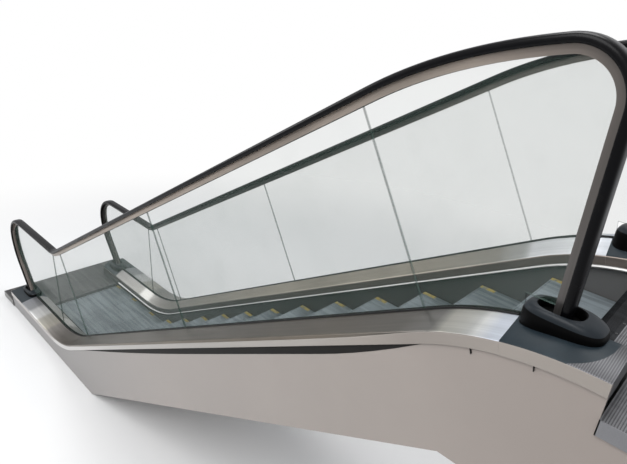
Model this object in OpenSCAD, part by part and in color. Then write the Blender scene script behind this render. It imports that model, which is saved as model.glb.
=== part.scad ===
// Escalator with glass balustrades, from the lower landing plate to the upper bearing.
// +X runs up the flight, +Z is up, Z 0 is the ground under the lower landing.

/* [Flight] */
// Height from the lower landing to the upper landing
rise = 2450; // [2100:10:3200]
// Slope of the flight in degrees
slope = 30; // [27:1:32]
// Height of the lower landing plate above the ground
landing_h = 70; // [64:1:100]
// Distance of the last levelled nosing from the upper bend
upper_flat = 5; // [5:5:40]

/* [Steps] */
// Width of a step
step_w = 800; // [600:20:1000]
// Pitch of the steps along the step chain
step_pitch = 405; // [390:1:420]
// Number of steps that show between the combs
step_n = 15; // [15:1:15]
// Running gap between a step and the next riser
step_gap = 4; // [2:0.5:6]
// Thickness of a tread with its cleats
tread_t = 24; // [18:1:30]
// Height of the cleats on a tread and on a riser
cleat_h = 10; // [8:0.5:12]
// Number of cleats across a step
cleat_n = 40; // [20:1:50]
// Share of the cleat pitch that is metal
cleat_share = 0.52; // [0.4:0.02:0.6]
// Depth of the step frame below the line of the nosings
frame_drop = 245; // [240:1:270]
// How far the line of the nosings lies below the balustrade line on the slope
nose_drop = 20; // [10:1:40]
// Bend radius of the step path at the lower end
step_low_r = 1000; // [800:20:1200]
// Bend radius of the step path at the upper end
step_high_r = 500; // [400:20:600]

/* [Balustrade] */
// Distance from the side of a step to the middle of the glass
glass_offset = 120; // [110:1:140]
// Thickness of the glass
glass_t = 12; // [10:1:14]
// Height of the glass seal above the landing
seal_h = 160; // [140:5:200]
// Height of the handrail's top above the glass seal
hand_h = 900; // [800:10:960]
// Bend radius of the balustrade line at the lower end
low_r = 1300; // [1250:10:1500]
// Bend radius of the balustrade line at the upper end
high_r = 1100; // [900:10:1300]
// Width of the outer deck measured from the middle of the glass
deck_w = 172; // [150:1:200]
// Fall of the outer deck to its outer edge
deck_fall = 28; // [10:1:40]
// Thickness of the deck sheets
sheet_t = 8; // [4:1:10]
// Height of the lip at the outer edge of the outer deck
lip_h = 52; // [40:1:56]
// Number of chords in each bend
bend_n = 8; // [6:1:12]

/* [Handrail] */
// Width of the handrail
hand_w = 80; // [70:1:90]
// Thickness of the handrail
hand_t = 33; // [28:1:36]
// Depth of the guide profile below the handrail
guide_drop = 28; // [20:1:34]
// Furthest reach of the lower newel from the lower bend
low_newel = 1500; // [1480:10:1600]
// Radius of the top corner of the lower newel
low_newel_r = 280; // [240:10:320]
// Radius of the tuck under the lower newel
tuck_r = 520; // [460:10:560]
// Lean of the handrail where it enters the lower inlet
tuck_lean = 34; // [28:1:36]
// Slope that the handrail still has where it turns down into the upper newel
high_turn = 10; // [8:0.5:12]
// Radius of the top corner of the upper newel
high_newel_r = 170; // [150:5:200]

/* [Housing] */
// Length of each inlet cap
cap_l = 280; // [260:5:300]
// Width of each inlet cap
cap_w = 150; // [140:5:160]
// Height of an inlet cap above the glass seal
cap_h = 45; // [36:1:60]
// Reach of the decks from the lower bend
low_deck_end = 1430; // [1420:10:1500]
// Reach of the decks from the upper bend
high_deck_end = 330; // [310:1:360]
// Length of the wide part of each landing plate
plate_l = 300; // [200:10:400]
// Length of the upper landing plate beyond the decks
high_plate_l = 480; // [400:10:700]
// Length of the lower comb plate
comb_plate_l = 150; // [120:5:220]
// Length of the comb teeth
tooth_l = 26; // [18:1:30]
// Thickness of the soffit sheet, measured upright
pan_t = 12; // [8:1:14]
// Thickness of the step track, measured upright
track_t = 14; // [10:1:18]
// Height of the webs that carry the step tracks on the slope, measured upright
track_web = 130; // [60:5:160]
// Depth of the upper landing housing below the landing
upper_box = 500; // [480:10:600]
// Thickness of the side cladding
clad_t = 12; // [8:1:20]
// Thickness of the skirt panels
skirt_t = 6; // [4:1:8]
// Height of the skirt above the landing
skirt_h = 55; // [45:1:65]
// Height of the upright band of the inner deck above the skirt
kick_h = 45; // [20:1:55]
// Clearance between pieces that seat on each other
fit = 0.3; // [0.2:0.1:0.5]

/* [Hidden] */

run = rise / tan(slope);
top_h = landing_h + rise;
half_step = step_w / 2;
glass_y = half_step + glass_offset;
skirt_y = half_step + 3;
lip_y = skirt_y + skirt_t + fit;
edge_y = glass_y + deck_w;
clad_y = edge_y - sheet_t - clad_t;
truss_y = clad_y - fit;
hand_crown = 21;
hand_off = seal_h + hand_h - hand_crown;
clamp_floor = 80;
glass_low_off = clamp_floor + fit;
seal_w = 8;

// Balustrade line: bends at X 0 and X run, off is measured square to the line
low_tan = low_r * tan(slope / 2);
high_tan = high_r * tan(slope / 2);
bend_end = low_r * slope * PI / 180;
slope_end = bend_end + run / cos(slope) - low_tan - high_tan;
line_end = slope_end + high_r * slope * PI / 180;

// Line of the nosings, which lies nose_drop lower on the slope and so bends a little later
nose_x0 = nose_drop / tan(slope);
nose_x1 = run + nose_x0;
nose_low_tan = step_low_r * tan(slope / 2);
nose_high_tan = step_high_r * tan(slope / 2);
nose_bend_end = step_low_r * slope * PI / 180;
nose_slope_end = nose_bend_end + (nose_x1 - nose_x0) / cos(slope) - nose_low_tan - nose_high_tan;
nose_line_end = nose_slope_end + step_high_r * slope * PI / 180;
lower_flat = step_n * step_pitch - nose_line_end - upper_flat;

comb_low_x = nose_x0 - nose_low_tan - lower_flat;
comb_high_x = nose_x1 + nose_high_tan + upper_flat;
low_end_x = -low_deck_end;
high_end_x = run + high_deck_end;
low_x = low_end_x - plate_l;
high_x = high_end_x + high_plate_l;
low_newel_x = -low_newel;

// Heights of the track and of the soffit under it
web_t = 10;
track_flat = pan_t + track_t;
track_x0 = nose_x0 + (frame_drop + track_flat - landing_h) / tan(slope);
pan_drop = frame_drop + track_flat + track_web;
pan_high = top_h - upper_box;
pan_x0 = nose_x0 + (pan_drop - landing_h) / tan(slope);
pan_x1 = pan_x0 + pan_high / tan(slope);
plate_t = landing_h - pan_t - fit;

cleat_pitch = step_w / cleat_n;
cleat_w = cleat_pitch * cleat_share;
cap_top_low = landing_h + seal_h + cap_h;
cap_top_high = top_h + seal_h + cap_h;

function low_s(x) = x + low_tan;
function high_s(x) = x > run + high_tan ? line_end + x - run - high_tan
  : line_end - high_r * asin((run + high_tan - x) / (high_r + seal_h)) * PI / 180;

// Point at length s on a line with two bends, off square to it, s 0 at the first bend
function bent(s, off, x0, x1, r0, r1, s1, s2, s3) =
  s < 0 ? [x0 - r0 * tan(slope / 2) + s, landing_h + off]
  : s < s1 ? let (a = s / r0 * 180 / PI)
      [x0 - r0 * tan(slope / 2) + (r0 - off) * sin(a), landing_h + r0 - (r0 - off) * cos(a)]
  : s < s2 ? [x0 - r0 * tan(slope / 2) + (r0 - off) * sin(slope) + (s - s1) * cos(slope),
              landing_h + r0 - (r0 - off) * cos(slope) + (s - s1) * sin(slope)]
  : s < s3 ? let (a = slope - (s - s2) / r1 * 180 / PI)
      [x1 + r1 * tan(slope / 2) - (r1 + off) * sin(a), top_h - r1 + (r1 + off) * cos(a)]
  : [x1 + r1 * tan(slope / 2) + s - s3, top_h + off];

function deck_at(s, off) = bent(s, off, 0, run, low_r, high_r, bend_end, slope_end, line_end);
function nose_at(s) = bent(s, 0, nose_x0, nose_x1, step_low_r, step_high_r,
                           nose_bend_end, nose_slope_end, nose_line_end);
function nosing(i) = nose_at(i * step_pitch - lower_flat);

// Lengths at which the line from a to b is divided: its ends and the chords of the bends
function stations(a, b) = concat([a],
  [for (i = [0 : bend_n]) let (s = bend_end * i / bend_n) if (s > a + 1 && s < b - 1) s],
  [for (i = [0 : bend_n]) let (s = slope_end + (line_end - slope_end) * i / bend_n)
    if (s > a + 1 && s < b - 1) s],
  [b]);
function reverse(list) = [for (i = [len(list) - 1 : -1 : 0]) list[i]];
function deck_line(a, b, off) = [for (s = stations(a, b)) deck_at(s, off)];

// Top of the step track at x, and the corner points of lines under the steps
function track_z(x) = x < track_x0 ? track_flat
  : x > nose_x1 ? top_h - frame_drop
  : landing_h + (x - nose_x0) * tan(slope) - frame_drop;
function track_line(a, b, up) = [
  [a, track_flat + up], [track_x0, track_flat + up],
  [nose_x1, top_h - frame_drop + up], [b, top_h - frame_drop + up]];
function pan_line(a, b, up) = [
  [a, up], [pan_x0, up], [pan_x1, pan_high + up], [b, pan_high + up]];

// Side view outline pulled t wide, from y0
module across(y0, t) {
  translate([0, y0 + t, 0])
    rotate([90, 0, 0])
      linear_extrude(height = t)
        children();
}

module band(a, b, low, high) {
  polygon(concat(deck_line(a, b, low), reverse(deck_line(a, b, high))));
}

// Section of [y, off] points carried along places of [x, z, heading]
function section_point(place, p) =
  [place[0] - p[1] * sin(place[2]), p[0], place[1] + p[1] * cos(place[2])];

module carried(rings) {
  n = len(rings[0]);
  last = len(rings) - 1;
  sides = [for (k = [0 : last - 1]) for (i = [0 : n - 1]) let (j = (i + 1) % n)
    each [[k * n + i, (k + 1) * n + i, k * n + j], [k * n + j, (k + 1) * n + i, (k + 1) * n + j]]];
  ends = [[for (i = [0 : n - 1]) i], [for (i = [n - 1 : -1 : 0]) last * n + i]];
  polyhedron([for (r = rings) each r], concat(sides, ends));
}

// Section of [y, off] points carried along the balustrade line
module deck_sweep(a, b, section) {
  carried([for (s = stations(a, b)) [for (p = section)
    let (q = deck_at(s, p[1])) [q[0], p[0], q[1]]]]);
}

// Places along the handrail from the lower inlet round both newels to the upper inlet
newel_n = 8;
low_mid_z = landing_h + hand_off - low_newel_r;
tuck_x = low_newel_x + tuck_r - tuck_r * cos(tuck_lean);
tuck_z = low_mid_z - tuck_r * sin(tuck_lean);
inlet_run = (tuck_z - cap_top_low - fit) / cos(tuck_lean);
inlet_x = tuck_x + inlet_run * sin(tuck_lean);
turn_s = line_end - high_r * high_turn * PI / 180;
turn_at = deck_at(turn_s, hand_off);
turn_x = turn_at[0] + high_newel_r * sin(high_turn);
turn_z = turn_at[1] - high_newel_r * cos(high_turn);
high_newel_x = turn_x + high_newel_r;
low_cap_x = inlet_x;
high_cap_x = high_newel_x;

// The decks, the clamp and the seal run between the two inlet housings
deck_low_s = low_s(low_cap_x + cap_l / 2 + fit);
deck_high_s = high_s(high_cap_x - cap_l / 2 - fit);
low_glass_x = low_cap_x + cap_l / 2 + 2;
high_glass_x = high_cap_x - cap_l / 2 - 2;

function line_heading(s) = s <= 0 ? 0 : s < bend_end ? s / low_r * 180 / PI
  : s <= slope_end ? slope
  : s < line_end ? slope - (s - slope_end) / high_r * 180 / PI : 0;
hand_places = concat(
  [[inlet_x, cap_top_low + fit, 90 + tuck_lean]],
  [for (i = [0 : newel_n / 2]) let (a = tuck_lean * (1 - 2 * i / newel_n))
    [low_newel_x + tuck_r - tuck_r * cos(a), low_mid_z - tuck_r * sin(a), 90 + a]],
  [for (i = [1 : newel_n]) let (a = 90 * (1 - i / newel_n))
    [low_newel_x + low_newel_r - low_newel_r * sin(a),
     low_mid_z + low_newel_r * cos(a), a]],
  [for (s = stations(0, turn_s)) let (q = deck_at(s, hand_off)) [q[0], q[1], line_heading(s)]],
  [for (i = [1 : newel_n]) let (a = high_turn - (90 + high_turn) * i / newel_n)
    [turn_x - high_newel_r * sin(a), turn_z + high_newel_r * cos(a), a]],
  [[high_newel_x, cap_top_high + fit, -90]]);

// First and last rings are cut level, so that the ends sit flat on the inlets
function level_ring(place, section, z) = [for (p = section)
  let (q = section_point(place, p), t = (z - q[2]) / sin(place[2]))
    [q[0] + t * cos(place[2]), q[1], z]];
module hand_sweep(section) {
  last = len(hand_places) - 1;
  carried([for (k = [0 : last]) k == 0 ? level_ring(hand_places[0], section, hand_places[0][1])
    : k == last ? level_ring(hand_places[last], section, hand_places[last][1])
    : [for (p = section) section_point(hand_places[k], p)]]);
}
function hand_edge(n) = [for (p = hand_places)
  [p[0] - n * sin(p[2]), p[1] + n * cos(p[2])]];

module handed(right) {
  if (right)
    mirror([0, 1, 0]) children();
  else
    children();
}

module soffit_pan() {
  color("lightgray")
    across(-truss_y, 2 * truss_y)
      polygon(concat(pan_line(low_end_x, high_x, 0), reverse(pan_line(low_end_x, high_x, pan_t))));
}

web_end = 20;
track_w = 70;
track_inset = 25;
module step_tracks() {
  a = comb_low_x + 2;
  b = comb_high_x - 2;
  color("dimgray")
    for (side = [-1, 1]) {
      across(side * (half_step - track_inset) - track_w / 2, track_w)
        polygon(concat(track_line(a, b, -track_t), reverse(track_line(a, b, 0))));
      across(side * (half_step - track_inset) - web_t / 2, web_t)
        polygon([[track_x0, pan_t], [pan_x0, pan_t], [pan_x1, pan_high + pan_t],
                 [b - web_end, pan_high + pan_t], [b - web_end, top_h - frame_drop - track_t],
                 [nose_x1, top_h - frame_drop - track_t]]);
    }
}

// Landing plates and combs
module lower_landing_plate() {
  color("silver") {
    translate([low_x, -edge_y, 0])
      cube([plate_l - fit, 2 * edge_y, landing_h]);
    translate([low_end_x - 1, -half_step, landing_h - plate_t])
      cube([comb_low_x - comb_plate_l - low_end_x + 1 - fit, step_w, plate_t]);
  }
}

module upper_landing_plate() {
  color("silver") {
    translate([high_end_x + fit, -edge_y, top_h - plate_t])
      cube([high_plate_l - fit, 2 * edge_y, plate_t]);
  }
}

comb_l = 60;
module comb_plate(x0, x1, top) {
  color("gray")
    translate([x0, -half_step, top - plate_t])
      cube([x1 - x0, step_w, plate_t]);
}

module lower_comb_plate() {
  comb_plate(comb_low_x - comb_plate_l, comb_low_x - comb_l, landing_h);
}

module upper_comb_plate() {
  comb_plate(comb_high_x + comb_l, high_end_x, top_h);
}

// Comb seen from above: a strip with one tooth in every groove between the cleats
tooth_play = 3;
tooth_w = cleat_pitch - cleat_w - tooth_play;
tooth_lift = 2;
module comb_outline() {
  translate([-comb_l + fit, -half_step])
    square([comb_l - fit, step_w]);
  for (i = [0 : cleat_n - 2])
    translate([-1, -half_step + cleat_pitch * (i + 1) - tooth_w / 2])
      polygon([[0, 0], [tooth_l + 1, tooth_w * 0.25], [tooth_l + 1, tooth_w * 0.75], [0, tooth_w]]);
}

module comb() {
  translate([0, 0, -cleat_h + tooth_lift])
    linear_extrude(height = cleat_h - tooth_lift)
      comb_outline();
  translate([-comb_l + fit, -half_step, -plate_t])
    cube([comb_l - fit - step_gap, step_w, plate_t - cleat_h + tooth_lift + 1]);
}

module lower_comb() {
  color("gold")
    translate([comb_low_x, 0, landing_h])
      comb();
}

module upper_comb() {
  color("gold")
    translate([comb_high_x, 0, top_h])
      mirror([1, 0, 0]) comb();
}

beam_w = 80;
beam_inset = 60;
module upper_landing_frame() {
  beam_h = top_h - plate_t - pan_high - pan_t - 2 * fit;
  color("dimgray")
    translate([0, 0, pan_high + pan_t + fit]) {
      translate([comb_high_x + comb_l / 2, -half_step, 0])
        cube([beam_w, step_w, beam_h]);
      for (x = [high_end_x + beam_inset, high_x - beam_w - 20])
        translate([x, -truss_y + 1, 0])
          cube([beam_w, 2 * truss_y - 2, beam_h]);
    }
}

end_t = 12;
module upper_end_plate() {
  color("lightgray")
    translate([high_x + fit, -edge_y + sheet_t, pan_high])
      cube([end_t, 2 * (edge_y - sheet_t), top_h - pan_high]);
}

bearing_l = 160;
bearing_t = 20;
bearing_drop = 100;
gusset_t = 20;
module upper_bearing() {
  x0 = high_x + fit + end_t;
  color("dimgray") {
    translate([x0, -half_step, top_h - bearing_drop - bearing_t])
      cube([bearing_l, step_w, bearing_t]);
    translate([x0, -half_step, top_h - 2 * bearing_drop - bearing_t])
      cube([bearing_t, step_w, 2 * bearing_drop]);
    for (y = [-half_step, -gusset_t / 2, half_step - gusset_t])
      across(y, gusset_t)
        polygon([[x0 + bearing_t, top_h - bearing_drop], [x0 + bearing_l, top_h - bearing_drop],
                 [x0 + bearing_t, top_h - 2]]);
  }
}

// One step: a cleated tread, a cleated riser under its nosing and a web at each side
riser_t = 18;
web_inset = 5;
module cleat_row(back, front) {
  polygon(concat([[half_step, back], [-half_step, back]],
    [for (i = [0 : cleat_n - 1]) let (y = -half_step + cleat_pitch * i,
        a = (cleat_pitch - cleat_w) / 2)
      each [[y, front - cleat_h], [y + a, front - cleat_h], [y + a, front],
            [y + cleat_pitch - a, front], [y + cleat_pitch - a, front - cleat_h]]],
    [[half_step, front - cleat_h]]));
}

module step(i) {
  p = nosing(i);
  end_x = nosing(i + 1)[0] - step_gap;
  under = p[1] - tread_t;
  foot = max(track_z(p[0] + riser_t), track_z(p[0])) + fit;
  translate([p[0], 0, p[1]])
    rotate([90, 0, 90])
      linear_extrude(height = end_x - p[0])
        cleat_row(-tread_t, 0);
  translate([p[0] + riser_t, 0, foot])
    rotate([0, 0, 90])
      linear_extrude(height = under - foot)
        cleat_row(0, riser_t);
  bend = track_x0 > p[0] + riser_t && track_x0 < end_x ? [[track_x0, track_flat + fit]]
    : nose_x1 > p[0] + riser_t && nose_x1 < end_x ? [[nose_x1, top_h - frame_drop + fit]] : [];
  for (y = [-half_step + web_inset, half_step - web_inset - web_t])
    across(y, web_t)
      polygon(concat([[p[0] + riser_t - 1, under], [p[0] + riser_t - 1, foot],
                      [p[0] + riser_t, track_z(p[0] + riser_t) + fit]], bend,
                     [[end_x, track_z(end_x) + fit], [end_x, under]]));
}

module steps(first, last) {
  color("lightslategray")
    for (i = [first : last])
      step(i);
}

module lower_flat_steps() {
  steps(0, 1);
}

module lower_curve_steps() {
  steps(2, 3);
}

module lower_slope_steps() {
  steps(4, 7);
}

module upper_slope_steps() {
  steps(8, 11);
}

module upper_curve_steps() {
  steps(12, step_n - 1);
}

// Side frame: a top chord under the glass clamp, a bottom chord on the soffit, and posts
chord_h = 58;
chord_top = 60;
chord_in = 50;
post_in = 40;
post_w = 60;
post_n = 6;
end_gap = 8;
module truss() {
  a = low_s(low_end_x + end_gap);
  b = high_s(high_end_x - end_gap);
  across(glass_y - chord_in, truss_y - glass_y + chord_in)
    band(a, b, 0, chord_top);
  across(glass_y + post_in, truss_y - glass_y - post_in)
    polygon(concat(pan_line(low_end_x + end_gap, high_end_x - end_gap, pan_t + fit),
                   reverse(pan_line(low_end_x + end_gap, high_end_x - end_gap, pan_t + chord_h))));
  for (i = [1 : post_n]) {
    x = pan_x0 + (high_end_x - end_gap - post_w - pan_x0) * i / post_n;
    top = min(x + post_w, run) * tan(slope) + landing_h;
    foot = min((x - pan_x0) * tan(slope), pan_high) + pan_t + chord_h / 2 + 1;
    across(glass_y + post_in, truss_y - glass_y - post_in)
      polygon([[x, foot], [x + post_w, foot], [x + post_w, top - 20], [x, top - 20]]);
  }
}

module cladding() {
  a = low_s(low_end_x);
  b = high_s(high_end_x);
  across(clad_y, clad_t)
    polygon(concat(pan_line(low_end_x, high_x, 0),
      [[high_x, top_h - plate_t - fit], [high_end_x, top_h - plate_t - fit]],
      reverse(deck_line(a, b, seal_h - sheet_t - deck_fall + 2))));
}

module outer_deck() {
  y0 = glass_y + glass_t / 2 + seal_w;
  y1 = edge_y;
  top = seal_h;
  edge = top - deck_fall;
  deck_sweep(deck_low_s, deck_high_s, [
    [y0, top], [y0, top - sheet_t], [y1 - sheet_t + fit, edge - sheet_t + 3],
    [y1 - sheet_t + fit, edge - lip_h], [y1, edge - lip_h], [y1, edge - 3],
    [y1 - 5, edge + 1]]);
}

// The inner deck leans down to an upright band that hangs outside the skirt
kick_top = skirt_h + kick_h;
kick_t = 5;
kick_foot = 20;
kick_bend = 8;
module inner_deck() {
  y0 = glass_y - glass_t / 2 - seal_w;
  deck_sweep(deck_low_s, deck_high_s, [
    [y0, seal_h - sheet_t], [y0, seal_h], [lip_y + kick_bend, kick_top + kick_bend / 2],
    [lip_y, kick_top - kick_bend / 2], [lip_y, kick_foot], [lip_y + kick_t, kick_foot],
    [lip_y + kick_t, kick_top - kick_bend / 2 - 2], [lip_y + kick_bend + kick_t - 1, kick_top - 2]]);
}

module skirt() {
  a = low_s(low_end_x);
  b = high_s(high_end_x);
  across(skirt_y, skirt_t)
    polygon(concat(track_line(low_end_x, high_end_x, fit), reverse(deck_line(a, b, skirt_h))));
}

brush_w = 12;
brush_h = 14;
brush_drop = 2;
bristle_w = 16;
bristle_h = 6;
bristle_drop = 6;
module skirt_brush() {
  a = low_s(comb_low_x + tooth_l);
  b = high_s(comb_high_x - tooth_l);
  across(skirt_y - fit - brush_w, brush_w)
    band(a, b, skirt_h - brush_drop - brush_h, skirt_h - brush_drop);
  across(skirt_y - fit - brush_w - bristle_w, bristle_w + 1)
    band(a, b, skirt_h - bristle_drop - bristle_h, skirt_h - bristle_drop);
}

clamp_w = 32;
clamp_top = 138;
module glass_clamp() {
  slot = glass_t + 2 * fit;
  difference() {
    across(glass_y - clamp_w / 2, clamp_w)
      band(deck_low_s, deck_high_s, chord_top + fit, clamp_top);
    across(glass_y - slot / 2, slot)
      band(deck_low_s - 5, deck_high_s + 5, glass_low_off - fit, clamp_top + 5);
  }
}

module glass_seal() {
  for (y = [glass_y - glass_t / 2 - seal_w + fit, glass_y + glass_t / 2])
    across(y, seal_w - fit)
      band(low_s(low_glass_x), high_s(high_glass_x), seal_h - 10, seal_h + 6);
}

// The glass reaches glass_sink short of the handrail line, where the guide profile takes it
joint_w = 5;
glass_sink = 20;
module glass_outline() {
  top = hand_edge(-glass_sink - fit);
  polygon(concat(
    deck_line(low_s(low_glass_x), high_s(high_glass_x), glass_low_off),
    [[high_glass_x, cap_top_high + 2]],
    [[high_newel_x - glass_sink - fit, cap_top_high + 2]],
    reverse([for (i = [1 : len(top) - 2]) top[i]]),
    [[top[0][0] + 2, cap_top_low + 2]],
    [[low_glass_x, cap_top_low + 2]]));
}

module glass_joint(s) {
  foot = deck_at(s, 0);
  translate(foot)
    rotate(line_heading(s))
      translate([-joint_w / 2, 0])
        square([joint_w, hand_off + 50]);
}

module glass_panels() {
  joints = [0, bend_end + 60, (bend_end + slope_end) / 2, slope_end - 60];
  across(glass_y - glass_t / 2, glass_t)
    difference() {
      glass_outline();
      for (s = joints)
        glass_joint(s);
    }
}

// The handrail wraps round the guide with a lip at each side
hand_lip = 16;
module handrail_guide() {
  w = glass_t / 2 + fit;
  shelf = hand_w / 2 - hand_lip - 0.5;
  foot = hand_crown - hand_t - guide_drop;
  hand_sweep([
    for (p = [[-shelf, -1.5], [-shelf, -6], [-w - 6, -8], [-w - 6, foot], [-w, foot],
      [-w, -glass_sink], [w, -glass_sink], [w, foot], [w + 6, foot], [w + 6, -8],
      [shelf, -6], [shelf, -1.5]]) [glass_y + p[0], p[1]]]);
}

module handrail() {
  h = hand_w / 2;
  low = hand_crown - hand_t;
  half = [[hand_lip, -1], [hand_lip, -7], [hand_lip, low], [7, low], [0, low + 8],
    [1, hand_crown - 12], [8, hand_crown - 5], [22, hand_crown]];
  hand_sweep(concat(
    reverse([for (p = half) [glass_y - h + p[0], p[1]]]),
    [for (p = half) [glass_y + h - p[0], p[1]]]));
}

// Inlet housing: it closes the end of the decks and carries a dome that the handrail enters
cap_r = 45;
dome_shoulder = 18;
dome_foot = 95;
dome_l = cap_l - 8;
cheek_t = 6;
module inlet_dome(x, s0, s1, top) {
  z0 = deck_at(s0, dome_foot)[1];
  z1 = deck_at(s1, dome_foot)[1];
  hull() {
    for (end = [[-dome_l / 2 + cap_r, z0], [dome_l / 2 - cap_r, z1]])
      for (dy = [-cap_w / 2 + cap_r, cap_w / 2 - cap_r])
        translate([x + end[0], glass_y + dy, end[1]]) {
          cylinder(r = cap_r, h = top - dome_shoulder - end[1], $fn = 32);
          cylinder(r = cap_r * 0.62, h = top - end[1], $fn = 32);
        }
  }
}

module inlet_base(s0, s1) {
  edge = seal_h - deck_fall;
  lip_in = edge_y - sheet_t + fit;
  deck_sweep(s0, s1, [
    [lip_y, kick_foot], [lip_y + kick_t, kick_foot], [lip_y + kick_t, chord_top + fit],
    [clad_y - fit, chord_top + fit], [clad_y - fit, edge - sheet_t + 3],
    [lip_in, edge - sheet_t + 3], [lip_in, edge - lip_h], [edge_y, edge - lip_h],
    [edge_y, edge - 3], [edge_y - 5, edge + 1],
    [glass_y + glass_t / 2 + seal_w, seal_h], [glass_y - glass_t / 2 - seal_w, seal_h],
    [lip_y + kick_bend, kick_top + kick_bend / 2], [lip_y, kick_top - kick_bend / 2]]);
}

module inlet_cheek(x, z) {
  translate([x, lip_y + 1, z + fit])
    cube([cheek_t, clad_y - lip_y - 2, chord_top + 20]);
}

module lower_inlet_cap() {
  inlet_base(low_s(low_end_x), deck_low_s - fit);
  inlet_dome(low_cap_x, low_s(low_end_x), deck_low_s, cap_top_low);
  inlet_cheek(low_end_x + 2, landing_h);
}

module upper_inlet_cap() {
  inlet_base(deck_high_s + fit, high_s(high_end_x));
  inlet_dome(high_cap_x, deck_high_s, high_s(high_end_x), cap_top_high);
  inlet_cheek(high_end_x - cheek_t - 2, top_h - 20);
}

module right_truss() { color("dimgray") handed(true) truss(); }
module left_truss() { color("dimgray") handed(false) truss(); }
module right_cladding() { color("gainsboro") handed(true) cladding(); }
module left_cladding() { color("gainsboro") handed(false) cladding(); }
module right_outer_deck() { color("silver") handed(true) outer_deck(); }
module left_outer_deck() { color("silver") handed(false) outer_deck(); }
module right_inner_deck() { color("tan") handed(true) inner_deck(); }
module left_inner_deck() { color("tan") handed(false) inner_deck(); }
module right_skirt() { color("#303234") handed(true) skirt(); }
module left_skirt() { color("#303234") handed(false) skirt(); }
module right_skirt_brush() { color("black") handed(true) skirt_brush(); }
module left_skirt_brush() { color("black") handed(false) skirt_brush(); }
module right_glass_clamp() { color("gray") handed(true) glass_clamp(); }
module left_glass_clamp() { color("gray") handed(false) glass_clamp(); }
module right_glass_seal() { color("black") handed(true) glass_seal(); }
module left_glass_seal() { color("black") handed(false) glass_seal(); }
module right_glass_panels() { color("lightblue", 0.4) handed(true) glass_panels(); }
module left_glass_panels() { color("lightblue", 0.4) handed(false) glass_panels(); }
module right_handrail_guide() { color("rosybrown") handed(true) handrail_guide(); }
module left_handrail_guide() { color("rosybrown") handed(false) handrail_guide(); }
module right_handrail() { color("#181818") handed(true) handrail(); }
module left_handrail() { color("#181818") handed(false) handrail(); }
module right_lower_inlet_cap() { color("#202224") handed(true) lower_inlet_cap(); }
module left_lower_inlet_cap() { color("#202224") handed(false) lower_inlet_cap(); }
module right_upper_inlet_cap() { color("#202224") handed(true) upper_inlet_cap(); }
module left_upper_inlet_cap() { color("#202224") handed(false) upper_inlet_cap(); }

soffit_pan();
lower_landing_plate();
lower_comb_plate();
lower_comb();
upper_landing_plate();
upper_comb_plate();
upper_comb();
upper_landing_frame();
upper_end_plate();
upper_bearing();
step_tracks();
lower_flat_steps();
lower_curve_steps();
lower_slope_steps();
upper_slope_steps();
upper_curve_steps();
right_truss();
left_truss();
right_cladding();
left_cladding();
right_outer_deck();
left_outer_deck();
right_inner_deck();
left_inner_deck();
right_skirt();
left_skirt();
right_skirt_brush();
left_skirt_brush();
right_glass_clamp();
left_glass_clamp();
right_glass_seal();
left_glass_seal();
right_glass_panels();
left_glass_panels();
right_handrail_guide();
left_handrail_guide();
right_handrail();
left_handrail();
right_lower_inlet_cap();
left_lower_inlet_cap();
right_upper_inlet_cap();
left_upper_inlet_cap();
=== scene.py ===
import bpy, bmesh
from math import asin, copysign, cos, hypot, pi, radians, sin, sqrt, tan
from mathutils import Matrix, Vector


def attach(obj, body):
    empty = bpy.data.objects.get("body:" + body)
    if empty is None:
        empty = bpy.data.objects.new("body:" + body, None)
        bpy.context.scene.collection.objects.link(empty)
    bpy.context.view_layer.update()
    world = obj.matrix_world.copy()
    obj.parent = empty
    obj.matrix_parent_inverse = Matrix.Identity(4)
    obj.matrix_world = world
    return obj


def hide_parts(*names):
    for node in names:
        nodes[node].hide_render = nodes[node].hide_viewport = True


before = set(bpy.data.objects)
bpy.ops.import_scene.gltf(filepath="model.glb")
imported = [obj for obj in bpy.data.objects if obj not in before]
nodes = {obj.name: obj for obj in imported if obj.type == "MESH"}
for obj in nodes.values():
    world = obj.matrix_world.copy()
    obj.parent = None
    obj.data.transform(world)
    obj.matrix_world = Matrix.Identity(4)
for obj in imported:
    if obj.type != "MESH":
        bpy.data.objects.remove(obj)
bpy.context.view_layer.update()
bpy.context.scene.view_settings.view_transform = "Standard"
print("frame loaded,", len(nodes), "nodes")

# the line of the flight in metres, with the same sizes as the part's source
flight = {
    "rise": 2.45, "slope": radians(30), "landing": 0.07,
    "lowRadius": 1.3, "highRadius": 1.1, "bendSteps": 24,
    "glassY": 0.52, "glassHalf": 0.006, "edgeY": 0.692, "cladY": 0.672, "skirtY": 0.403, "lipY": 0.4093,
    "seal": 0.16, "rail": 1.039, "fit": 0.0003,
}
slope, ground, sealTop, glassY = (flight[key] for key in ("slope", "landing", "seal", "glassY"))
lowRadius, highRadius, edgeY, lipY, fit = (
    flight[key] for key in ("lowRadius", "highRadius", "edgeY", "lipY", "fit"))
run = flight["rise"] / tan(slope)
topHeight = ground + flight["rise"]
lowTangent = lowRadius * tan(slope / 2)
highTangent = highRadius * tan(slope / 2)
bendEnd = lowRadius * slope
slopeEnd = bendEnd + run / cos(slope) - lowTangent - highTangent
lineEnd = slopeEnd + highRadius * slope


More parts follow.
